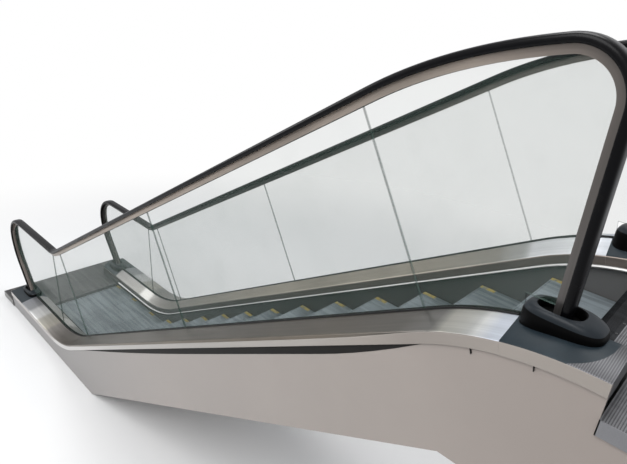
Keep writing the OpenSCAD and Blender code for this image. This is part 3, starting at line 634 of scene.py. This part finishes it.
paintedShadowPlaces = linePlaces(deckLow, lengthAt(run + deck["paintedShadowEnd"]), deck["paintedShadowStep"])
clipBack, clipFront = edgeY - deck["clipDeep"], edgeY - deck["clipProud"]
clipLow, clipTop = lipLow - deck["clipDown"], lipLow + deck["clipUp"]
clipSection = [(clipBack, clipLow), (clipBack, clipTop), (clipFront, clipTop), (clipFront, clipLow)]
gasketEnd = handrail["capLength"] / 2 + gasket["endGap"]
gasketPlaces = linePlaces(lengthAt(lowCapX + gasketEnd), lengthAt(highCapX - gasketEnd, sealTop))
for hand, side in hands.items():
    outer = sweepPiece(hand + "_outer_deck_sheet", deckPlaces, outerSection(0), ["outerSteel", "lip"], side,
                       change=outerSection)
    settle(outer, "deck", hand + "_outer_deck")
    inner = sweepPiece(hand + "_inner_deck_sheet", deckPlaces, innerSection, ["innerSteel", "bandSteel"],
                       side)
    settle(inner, "inner_panel", hand + "_inner_deck")
    bm = bmesh.new()
    # the black strip is a painted shadow under the lip
    sweepInto(bm, paintedShadowPlaces, paintedShadowSection(0), side, paintedShadowSection)
    for s in deck["clips"]:
        sweepInto(bm, linePlaces(s - deck["clipHalf"], s + deck["clipHalf"]), clipSection, side)
    settle(pieceFrom(hand + "_painted_shadow_and_clips", bm, ["gap"]), "seal")
    bm = bmesh.new()
    for y in (glassInner - gasket["width"], glassOuter):
        sweepInto(bm, gasketPlaces, gasketSection(y), side)
    settle(pieceFrom(hand + "_glass_gasket", bm, ["sealRubber"]), "seal", hand + "_glass_seal")
print("decks and gaskets made")


# Geometry Nodes for what repeats: instances on points that carry each one's reach and tilt
def openTree(name, inputs):
    tree = bpy.data.node_groups.new(name, "GeometryNodeTree")
    tree.interface.new_socket(name="Geometry", in_out="OUTPUT", socket_type="NodeSocketGeometry")
    tree.interface.new_socket(name="Geometry", in_out="INPUT", socket_type="NodeSocketGeometry")
    for key, value in inputs.items():
        kind = "NodeSocketInt" if isinstance(value, int) else "NodeSocketFloat"
        tree.interface.new_socket(name=key, in_out="INPUT", socket_type=kind).default_value = value
    tree.interface.new_socket(name="Paint", in_out="INPUT", socket_type="NodeSocketMaterial")
    bench = Bench(tree)
    return bench, bench.add("NodeGroupInput")


def closeTree(bench, given, instance, scale=(1.0, 1.0, 1.0)):
    turn = bench.add("FunctionNodeEulerToRotation", {0: bench.stored("tilt", "FLOAT_VECTOR")})
    made = bench.add("GeometryNodeInstanceOnPoints", {
        "Points": given.out("Geometry"), "Instance": instance, "Rotation": turn, "Scale": scale})
    made = bench.add("GeometryNodeRealizeInstances", {"Geometry": made})
    made = bench.add("GeometryNodeSetMaterial", {"Geometry": made, "Material": given.out("Paint")})
    bench.add("NodeGroupOutput", {0: made})
    return bench.tree


def ribTree():
    # a row of ribs, each 1 long before its reach, narrower at the top and at the tip
    bench, given = openTree("rib rows", {"Count": 10, "Pitch": 0.01, "Rib Width": 0.004, "Rib Height": 0.01,
                                         "Top Share": 0.7, "Tip Share": 1.0})
    count, pitch = given.out("Count"), given.out("Pitch")
    wide, tall = given.out("Rib Width"), given.out("Rib Height")
    line = bench.add("GeometryNodeMeshLine", {
        "Count": count, "Start Location": bench.vector(y=(count - 1) * pitch * -0.5),
        "Offset": bench.vector(y=pitch)}, mode="OFFSET")
    rib = bench.add("GeometryNodeMeshCube", {"Size": bench.vector(1.0, wide, tall)})
    parts = bench.add("ShaderNodeSeparateXYZ", {0: bench.add("GeometryNodeInputPosition")})
    x, y, z = parts.out(0), parts.out(1), parts.out(2)
    narrow = (z > 0.0) * (given.out("Top Share") - 1)
    tip = (x > 0.0) * (given.out("Tip Share") - 1)
    shift = bench.vector(y=y * narrow + y * tip)
    rib = bench.add("GeometryNodeSetPosition", {"Geometry": rib, "Offset": shift})
    lift = bench.vector(0.5, z=tall * 0.5)
    rib = bench.add("GeometryNodeTransform", {"Geometry": rib, "Translation": lift})
    row = bench.add("GeometryNodeInstanceOnPoints", {"Points": line, "Instance": rib})
    row = bench.add("GeometryNodeRealizeInstances", {"Geometry": row})
    return closeTree(bench, given, row, bench.vector(bench.stored("reach", "FLOAT"), 1.0, 1.0))


def screwTree():
    # a round head with a six-sided socket
    bench, given = openTree("screw heads", {"Radius": 0.006, "Height": 0.0015})
    radius, height = given.out("Radius"), given.out("Height")
    head = bench.add("GeometryNodeMeshCylinder", {"Vertices": 16, "Radius": radius, "Depth": height})
    hole = bench.add("GeometryNodeMeshCylinder", {
        "Vertices": 6, "Radius": radius * 0.5, "Depth": height * 1.2})
    both = bench.add("GeometryNodeMeshBoolean", {"Mesh 1": head, "Mesh 2": hole}, operation="DIFFERENCE")
    return closeTree(bench, given, both)


ribRows, screwHeads = ribTree(), screwTree()


def grown(name, tree, points, inputs):
    # points of (place, reach, tilt); the result comes back as a plain mesh object
    mesh = bpy.data.meshes.new(name)
    mesh.from_pydata([p[0] for p in points], [], [])
    reach = mesh.attributes.new("reach", "FLOAT", "POINT")
    tilt = mesh.attributes.new("tilt", "FLOAT_VECTOR", "POINT")
    for k, p in enumerate(points):
        reach.data[k].value = p[1]
        tilt.data[k].vector = p[2]
    piece = objectFrom(name, mesh)
    maker = piece.modifiers.new("maker", "NODES")
    maker.node_group = tree
    names = {item.name: item.identifier for item in tree.interface.items_tree if item.in_out == "INPUT"}
    for key, value in inputs.items():
        maker[names[key]] = value
    ready = bpy.context.evaluated_depsgraph_get()
    made = bpy.data.meshes.new_from_object(piece.evaluated_get(ready), depsgraph=ready)
    piece.modifiers.remove(maker)
    piece.data = made
    made.name = name
    return piece


def ribbed(name, points, paint, count, pitch, width, height, top=1.0, tip=1.0):
    return grown(name, ribRows, points, {
        "Count": count, "Pitch": pitch, "Rib Width": width, "Rib Height": height, "Top Share": top,
        "Tip Share": tip, "Paint": paints[paint]})


def joined(name, pieces):
    # puts meshes together in one object and keeps their finishes
    bm, materials = bmesh.new(), []
    for piece in pieces:
        slots = list(piece.data.materials)
        before = len(bm.faces)
        bm.from_mesh(piece.data)
        bm.faces.ensure_lookup_table()
        for face in bm.faces[before:]:
            material = slots[min(face.material_index, len(slots) - 1)]
            if material not in materials:
                materials.append(material)
            face.material_index = materials.index(material)
        bpy.data.objects.remove(piece)
    return objectFrom(name, meshFrom(name, bm, materials))


# steps: a grooved tread and riser each, placed along the nosing line, on two webs that stand on the tracks
steps = {
    "width": 0.8, "pitch": 0.405, "count": 15, "gap": 0.004, "treadThick": 0.024, "riserThick": 0.018,
    "riserDrop": 0.0005, "lap": 0.001, "webThick": 0.010, "webInset": 0.005,
    "cleatHeight": 0.010, "cleatPitch": 0.010, "cleatWidth": 0.0048, "cleatTop": 0.8,
    "yellowCleats": 3, "insertLength": 0.085, "insertDrop": 0.04,
    "noseDrop": 0.020, "lowRadius": 1.0, "highRadius": 0.5, "upperFlat": 0.005,
    "frameDrop": 0.245, "trackFlat": 0.026,
}
noseX0 = steps["noseDrop"] / tan(slope)
noseX1 = run + noseX0
noseBend = steps["lowRadius"] * slope
noseSlope = (noseBend + (noseX1 - noseX0) / cos(slope)
             - (steps["lowRadius"] + steps["highRadius"]) * tan(slope / 2))
noseEnd = noseSlope + steps["highRadius"] * slope
lowerFlat = steps["count"] * steps["pitch"] - noseEnd - steps["upperFlat"]
trackX0 = noseX0 + (steps["frameDrop"] + steps["trackFlat"] - ground) / tan(slope)


def nosing(i):
    return bentLine(i * steps["pitch"] - lowerFlat, 0.0, noseX0, noseX1, steps["lowRadius"],
                    steps["highRadius"], noseBend, noseSlope, noseEnd)


def trackTop(x):
    if x < trackX0:
        return steps["trackFlat"]
    if x > noseX1:
        return topHeight - steps["frameDrop"]
    return ground + (x - noseX0) * tan(slope) - steps["frameDrop"]


combLowX, combHighX = nosing(0)[0], nosing(steps["count"])[0]
half, cleat, lap = steps["width"] / 2, steps["cleatHeight"], steps["lap"]
level, down = (0.0, 0.0, 0.0), (pi, radians(90), 0.0)
rowAside = half - steps["cleatPitch"] * steps["yellowCleats"] / 2  # middle of the cleats beside the skirt
insert, web = steps["insertLength"], steps["webThick"]
bodies = bmesh.new()
treads, edges, inserts, risers, corners = [], [], [], [], []
for i in range(steps["count"]):
    x, z = nosing(i)
    back, behind = nosing(i + 1)[0] - steps["gap"], x + steps["riserThick"]
    foot = max(trackTop(x), trackTop(behind)) + fit
    under, groove, riserTop = z - steps["treadThick"], z - cleat, z - steps["riserDrop"]
    tall = riserTop - foot
    boxInto(bodies, (x + lap, -half, under), (back, half, groove))
    boxInto(bodies, (x + cleat, -half, foot), (behind, half, under + lap))
    bends = [bend for bend in (trackX0, noseX1) if behind < bend < back]
    outline = [(behind - lap, under), (behind - lap, foot),
               *[(b, trackTop(b) + fit) for b in (behind, *bends, back)], (back, under)]
    for y in (-half + steps["webInset"], half - steps["webInset"] - web):
        loftInto(bodies, [[(px, py, pz) for px, pz in outline] for py in (y, y + web)])
    treads.append(((x, 0.0, groove), back - x, level))
    risers.append(((x + cleat, 0.0, riserTop), tall, down))
    for y in (-rowAside, rowAside):
        inserts.append(((x, y, groove), insert, level))
        edges.append(((x + insert, y, groove), back - x - insert, level))
        corners.append(((x + cleat, y, riserTop), min(steps["insertDrop"], tall / 2), down))
cleats, few = int(steps["width"] / steps["cleatPitch"]), steps["yellowCleats"]
most = cleats - 2 * few
rows = [("tread_cleats", treads, most, "tread"), ("riser_cleats", risers, most, "riser"),
        ("edge_cleats", edges, few, "tread"), ("insert_cleats", inserts, few, "yellow"),
        ("corner_cleats", corners, few, "yellow")]
# the step bodies under and between the cleats take the groove finish, painted shade
pieces = [pieceFrom("step_bodies", bodies, ["groove"])]
for name, points, count, paint in rows:
    pieces.append(ribbed(name, points, paint, count, steps["cleatPitch"], steps["cleatWidth"], cleat,
                         steps["cleatTop"]))
stepPiece = joined("cleated_steps", pieces)
settle(stepPiece, "tread", "lower_flat_steps", "lower_curve_steps", "lower_slope_steps",
       "upper_slope_steps", "upper_curve_steps")
print("steps made,", len(stepPiece.data.polygons), "faces")

# landing plates: ribs inside a plain rim, on a base a little smaller that is painted darker between the ribs
# as painted shade
landing = {
    "plateThick": 0.0577, "rim": 0.004, "inset": 0.001, "carrier": 0.150,
    "ribPitch": 0.008, "ribWidth": 0.0042, "ribHeight": 0.0022, "ribTop": 0.75, "ribMargin": 0.006,
    "lowEnd": -1.430, "lowPlate": 0.300, "highEnd": run + 0.330, "highPlate": 0.480,
}
# combs: teeth in front, low ribs behind them and a flat strip with screws at the back
comb = {
    "length": 0.060, "ledge": 0.008, "lap": 0.001, "ribHeight": 0.001, "ribGap": 0.002,
    "tooth": 0.026, "toothWidth": 0.0034, "toothHeight": 0.007, "toothTop": 0.9, "toothTip": 0.35,
    "strip": 0.018, "screws": 8, "screwRadius": 0.005, "screwHeight": 0.0012, "screwSink": 0.0007,
}


def plateRibs(name, x0, x1, width, top, paint):
    # ribs run across the plate, one behind the other
    tall, pitch = landing["ribHeight"], landing["ribPitch"]
    point = (((x0 + x1) / 2, -width / 2, top - tall), width, (0.0, 0.0, radians(90)))
    count = int((x1 - x0 - landing["ribMargin"]) / pitch)
    return ribbed(name, [point], paint, count, pitch, landing["ribWidth"], tall, landing["ribTop"])


def landingPlate(name, blocks, top, replaced, plain="landing", groove="upperGroovePaintedShade"):
    base, frames, ribs = bmesh.new(), bmesh.new(), []
    inset, rim, ribFoot = landing["inset"], landing["rim"], top - landing["ribHeight"]
    for x0, x1, width, bottom in blocks:
        y = width / 2
        boxInto(base, (x0 + inset, inset - y, bottom + inset), (x1 - inset, y - inset, ribFoot))
        for a, b in (((x0, -y), (x0 + rim, y)), ((x1 - rim, -y), (x1, y)),
                     ((x0, -y), (x1, -y + rim)), ((x0, y - rim), (x1, y))):
            boxInto(frames, (*a, bottom), (*b, top))
        ribs.append(plateRibs(name + "_ribs", x0 + rim, x1 - rim, width - 2 * rim, top, plain))
    pieces = [pieceFrom(name + "_base", base, [groove]), pieceFrom(name + "_rim", frames, [plain]), *ribs]
    settle(joined(name, pieces), "landing", replaced)


lowBottom, highBottom = ground - landing["plateThick"], topHeight - landing["plateThick"]
lowEnd, highEnd, lowJoint = landing["lowEnd"], landing["highEnd"], combLowX - landing["carrier"]
landingPlate("lower_ribbed_plate", [(lowEnd - landing["lowPlate"], lowEnd - fit, 2 * edgeY, 0.0),
                                    (lowEnd, lowJoint - fit, steps["width"], lowBottom)],
             ground, "lower_landing_plate", "lowerLandingPaintedShade", "lowerGroovePaintedShade")
landingPlate("upper_ribbed_plate", [(highEnd + fit, highEnd + landing["highPlate"], 2 * edgeY, highBottom)],
             topHeight, "upper_landing_plate")
landingPlate("lower_comb_carrier", [(lowJoint, combLowX - comb["length"], steps["width"], lowBottom)],
             ground, "lower_comb_plate", "lowerLandingPaintedShade", "lowerGroovePaintedShade")
landingPlate("upper_comb_carrier", [(combHighX + comb["length"], highEnd, steps["width"], highBottom)],
             topHeight, "upper_comb_plate")


def combPiece(name, x, top, way, replaced):
    # way is 1 where the teeth point up the flight and -1 where they point down it
    bm, length, flat = bmesh.new(), comb["length"], comb["strip"]
    ledge, surface = top - comb["ledge"], top - comb["ribHeight"]
    for front, low, high in ((0.0, ledge, surface), (steps["gap"], top - landing["plateThick"], ledge)):
        x0, x1 = sorted((x - way * (length - fit), x - way * front))
        boxInto(bm, (x0, -half, low), (x1, half, high))
    tilt = (0.0, 0.0, 0.0 if way > 0 else pi)
    row = ("comb", cleats - 1, steps["cleatPitch"], comb["toothWidth"])
    teeth = [((x - way * comb["lap"], 0.0, ledge), comb["tooth"], tilt)]
    ribs = [((x - way * (length - flat), 0.0, surface), length - flat - comb["ribGap"], tilt)]
    screwX, screwZ = x - way * (length - flat / 2), top - comb["screwSink"]
    spacing = steps["width"] / comb["screws"]
    heads = [((screwX, (k + 0.5) * spacing - half, screwZ), 1.0, level) for k in range(comb["screws"])]
    pieces = [
        pieceFrom(name + "_body", bm, ["comb"]),
        ribbed(name + "_teeth", teeth, *row, comb["toothHeight"], comb["toothTop"], comb["toothTip"]),
        ribbed(name + "_ribs", ribs, *row, comb["ribHeight"], comb["toothTop"]),
        grown(name + "_screws", screwHeads, heads,
              {"Radius": comb["screwRadius"], "Height": comb["screwHeight"], "Paint": paints["screw"]})]
    settle(joined(name, pieces), "comb", replaced)


combPiece("lower_comb_teeth", combLowX, ground, 1.0, "lower_comb")
combPiece("upper_comb_teeth", combHighX, topHeight, -1.0, "upper_comb")
print("landings and combs made")

# skirt brush: an aluminium carrier painted near white as a painted highlight, with two rows of bristle tufts
brush = {
    "barWidth": 0.012, "top": 0.053, "middle": 0.045, "bottom": 0.039, "topNick": 0.004, "bottomNick": 0.002,
    "rows": (0.003, 0.006), "reach": 0.016, "lap": 0.001, "droop": 0.12, "sway": 0.10, "swayTurn": 2.4,
    "tuftPitch": 0.007, "tuftWidth": 0.0016, "tuftGap": 0.0026, "tuftTip": 0.5,
}
brushLow = lengthAt(combLowX + comb["tooth"])
brushHigh = lengthAt(combHighX - comb["tooth"], brush["middle"])
barY = flight["skirtY"] - fit
barFront, barLow, barTop = barY - brush["barWidth"], brush["bottom"], brush["top"]
barSection = [(barY, barLow), (barY, barTop), (barY - brush["topNick"], barTop),
              (barFront, barTop - brush["topNick"]), (barFront, barLow + brush["bottomNick"]),
              (barFront + brush["bottomNick"], barLow)]
tufts = int((brushHigh - brushLow) / brush["tuftPitch"])
for hand, side in hands.items():
    bar = sweepPiece(hand + "_brush_bar", linePlaces(brushLow, brushHigh), barSection, ["trimPaintedHighlight"], side)
    points = []
    for k in range(tufts):
        s = brushLow + (k + 0.5) * brush["tuftPitch"]
        for row, rise in enumerate(brush["rows"]):
            x, z = lineAt(s + row * brush["tuftPitch"] / 2, barLow + rise)
            droop = brush["sway"] * sin(k * brush["swayTurn"] + row) + brush["droop"]
            root = (x, side * (barFront + brush["lap"]), z)
            points.append((root, brush["reach"], (0.0, droop, -side * pi / 2)))
    bristles = ribbed(hand + "_bristles", points, "bristle", 2, brush["tuftGap"], brush["tuftWidth"],
                      brush["tuftWidth"], tip=brush["tuftTip"])
    settle(joined(hand + "_skirt_brush_strip", [bar, bristles]), "brush", hand + "_skirt_brush")
print("brushes made")

# inlet housings: a slate base across the deck and a dome whose mouth takes the handrail
housing = {
    "domeLength": 0.272, "domeWidth": 0.150, "height": 0.045, "foot": 0.095, "floor": 0.0603, "points": 56,
    "footPower": 3.2, "power": 2.7, "sink": 0.004, "shares": (0.15, 0.3, 0.45, 0.6, 0.75, 0.9, 1.0),
    "crest": 0.001, "crestLength": 0.020, "crestWidth": 0.012,
    "mouthLength": 0.150, "mouthWidth": 0.106, "mouthShift": -0.018, "highlightBands": range(4, 9),
    "mouthRings": [(0.008, 0.002, 0.001), (0.0, -0.008, 0.006), (-0.008, -0.014, 0.034)],
    "edgeRound": [(0.0, -0.006, 1), (0.001, -0.003, 0), (0.005, 0.001, 0)],
    "plate": {"reach": 0.172, "width": 0.19, "pitch": 0.007},
}
paints["upperPlate"] = platePaint("upper housing plate", highCapX, **housing["plate"])
cladY, lipBack = flight["cladY"] - fit, edgeY - slab + fit
baseSection = [(lipY, bandFoot, 2), (bandInside, bandFoot, 2), (bandInside, housing["floor"], 0),
               (cladY, housing["floor"], 0), (cladY, underEdge, 0), (lipBack, underEdge, 1),
               (lipBack, lipLow, 1), (edgeY, lipLow, 1),
               *[(edgeY - y, edge + z, paint) for y, z, paint in housing["edgeRound"]],
               (outerY, sealTop, 0), (innerY, sealTop, 0),
               *[(y, z, 2 * int(k > 1)) for k, (y, z) in enumerate(bandFold)]]


def oval(length, width, power, lift, shift=0.0):
    ring = []
    for i in range(housing["points"]):
        a = 2 * pi * i / housing["points"]
        c, s = cos(a), sin(a)
        x = copysign(abs(c) ** (2 / power), c) * length / 2
        y = copysign(abs(s) ** (2 / power), s) * width / 2
        ring.append((x + shift, y, lift))
    return ring


def housingPiece(name, capX, s0, s1, side, replaced, plate="slate"):
    bm, dome = bmesh.new(), bmesh.new()
    sweepInto(bm, linePlaces(s0, s1), baseSection, side)
    long, wide, tall, power = (housing[key] for key in ("domeLength", "domeWidth", "height", "power"))
    mouthL, mouthW, shift = housing["mouthLength"], housing["mouthWidth"], housing["mouthShift"]
    footPower, crest = housing["footPower"], housing["crest"]
    crestL, crestW = mouthL + housing["crestLength"], mouthW + housing["crestWidth"]
    bottom = min(lineAt(s, housing["foot"])[1] for s in (s0, s1))
    rise = (ground if capX < 0 else topHeight) + sealTop
    levels = [oval(long, wide, footPower, bottom), oval(long, wide, footPower, rise - housing["sink"])]
    for t in housing["shares"]:
        share = 1 - sqrt(1 - t * t)
        levels.append(oval(long + (crestL - long) * share, wide + (crestW - wide) * share,
                           footPower + (power - footPower) * share, rise + (tall - crest) * t, shift * share))
    for longer, wider, drop in housing["mouthRings"]:
        levels.append(oval(mouthL + longer, mouthW + wider, power, rise + tall - drop, shift))
    rings = [[(capX + x, side * (glassY + y), z) for x, y, z in ring] for ring in levels]
    # the top bands get the painted highlight, the sides and mouth the painted shade
    loftInto(dome, rings, housing["highlightBands"])
    pieces = [pieceFrom(name + "_base", bm, [plate, "lip", "bandSteel"]),
              pieceFrom(name + "_dome", dome, ["domeBlackPaintedShade", "domePaintedHighlight"], sharp=40.0)]
    settle(joined(name, pieces), "housing", replaced)


for hand, side in hands.items():
    housingPiece(hand + "_lower_inlet_housing", lowCapX, lengthAt(lowEnd), deckLow - fit, side,
                 hand + "_lower_inlet_cap")
    housingPiece(hand + "_upper_inlet_housing", highCapX, deckHigh + fit, lengthAt(highEnd), side,
                 hand + "_upper_inlet_cap", "upperPlate")
print("inlet housings made")

# the solids whose shape is right keep it and get their finish
dressed = {"soffit_pan": "underside", "upper_landing_frame": "structure", "upper_end_plate": "structure",
           "upper_bearing": "structure", "step_tracks": "structure"}
for hand in hands:
    dressed.update({hand + "_cladding": "cladding", hand + "_skirt": "skirt", hand + "_truss": "structure",
                    hand + "_glass_clamp": "clampSteel", hand + "_glass_panels": "glass"})
for name, paint in dressed.items():
    for slot in nodes[name].material_slots:
        slot.material = paints[paint]
print("solids dressed,", len(dressed))

# floor, backdrop, light and camera
stage = {
    "floorSize": 400.0, "floorPlace": (1.5, 0.0, -0.001), "fadeFrom": 3.4, "fadeTo": 7.5,
    "glow": ((0.93, 0.96, 1.0), 0.62), "gloss": ((0.98, 0.98, 1.0), 0.8), "backdrop": ((1.0, 1.0, 1.0), 1.0),
    "lamps": {"key": ((3.0, -4.5, 7.5), (1.5, 0.0, 1.0), 5.0, 330.0),  # place, target, size and power
              "fill": ((-5.0, -3.0, 5.0), (0.5, 0.0, 0.8), 4.0, 120.0),
              "top": ((2.5, 1.5, 8.5), (2.0, 0.0, 1.0), 4.0, 240.0)},
}


def floorPaint():
    paint = Paint("floor")
    pale = paint.blend(paint.noise(0.7), (0.80, 0.795, 0.79), (0.84, 0.835, 0.83))
    shader = paint.add("ShaderNodeBsdfPrincipled", {"Base Color": pale, "Roughness": 0.55})
    seen = paint.add("ShaderNodeLightPath").out("Is Camera Ray")
    away = paint.add("ShaderNodeVectorMath", {0: paint.place}, operation="LENGTH").out("Value")
    white = paint.add("ShaderNodeEmission", {"Color": colour((1, 1, 1)), "Strength": 1.0})
    mixed = paint.add("ShaderNodeMixShader", {
        0: seen * paint.fade(away, stage["fadeFrom"], stage["fadeTo"]), 1: shader, 2: white})
    paint.add("ShaderNodeOutputMaterial", {"Surface": mixed})
    return paint.material


bm = bmesh.new()
bmesh.ops.create_grid(bm, x_segments=1, y_segments=1, size=stage["floorSize"] / 2)
floor = objectFrom("floor", meshFrom("floor", bm, [floorPaint()]))
floor.location = stage["floorPlace"]

world = bpy.data.worlds.new("studio")
world.use_nodes = True
bpy.context.scene.world = world
sky = Bench(world.node_tree)
sky.tree.nodes.clear()
rays = sky.add("ShaderNodeLightPath")
glow, gloss, backdrop = (sky.add("ShaderNodeBackground", {0: colour(tone), 1: strength})
                         for tone, strength in (stage[name] for name in ("glow", "gloss", "backdrop")))
mixed = glow
for ray, shade in (("Is Glossy Ray", gloss), ("Is Transmission Ray", backdrop), ("Is Camera Ray", backdrop)):
    mixed = sky.add("ShaderNodeMixShader", {0: rays.out(ray), 1: mixed, 2: shade})
sky.add("ShaderNodeOutputWorld", {0: mixed})

for name, (place, target, size, power) in stage["lamps"].items():
    light = bpy.data.lights.new(name, "AREA")
    light.shape, light.size, light.energy = "DISK", size, power
    lamp = objectFrom(name, light)
    lamp.location = place
    lamp.rotation_euler = (Vector(target) - Vector(place)).to_track_quat("-Z", "Y").to_euler()

# camera matched to the picture: place, heading, pitch and roll, focal length and centre in pixels
view = {"place": (4.7263, -2.1257, 3.5659), "heading": 0.7183, "pitch": 0.4308, "roll": 0.0845,
        "focal": 515.45, "centre": (330.12, 240.41), "frame": (627, 464), "sensor": 36.0,
        "clip": (0.05, 200.0)}
yaw, pitch, roll = view["heading"], view["pitch"], view["roll"]
ahead = Vector((-sin(yaw) * cos(pitch), cos(yaw) * cos(pitch), -sin(pitch)))
across = Vector((cos(yaw), sin(yaw), 0.0))
upward = across.cross(ahead)
across, upward = (across * cos(roll) + upward * sin(roll),
                  -across * sin(roll) + upward * cos(roll))
pixels = view["frame"][0]
lens = bpy.data.cameras.new("view")
lens.sensor_width, lens.lens = view["sensor"], view["sensor"] * view["focal"] / pixels
lens.shift_x = (pixels / 2 - view["centre"][0]) / pixels
lens.shift_y = (view["centre"][1] - view["frame"][1] / 2) / pixels
lens.clip_start, lens.clip_end = view["clip"]
camera = objectFrom("view", lens)
camera.matrix_world = Matrix((
    (across.x, upward.x, -ahead.x, view["place"][0]), (across.y, upward.y, -ahead.y, view["place"][1]),
    (across.z, upward.z, -ahead.z, view["place"][2]), (0, 0, 0, 1)))
bpy.context.scene.camera = camera
print("stage and camera set")
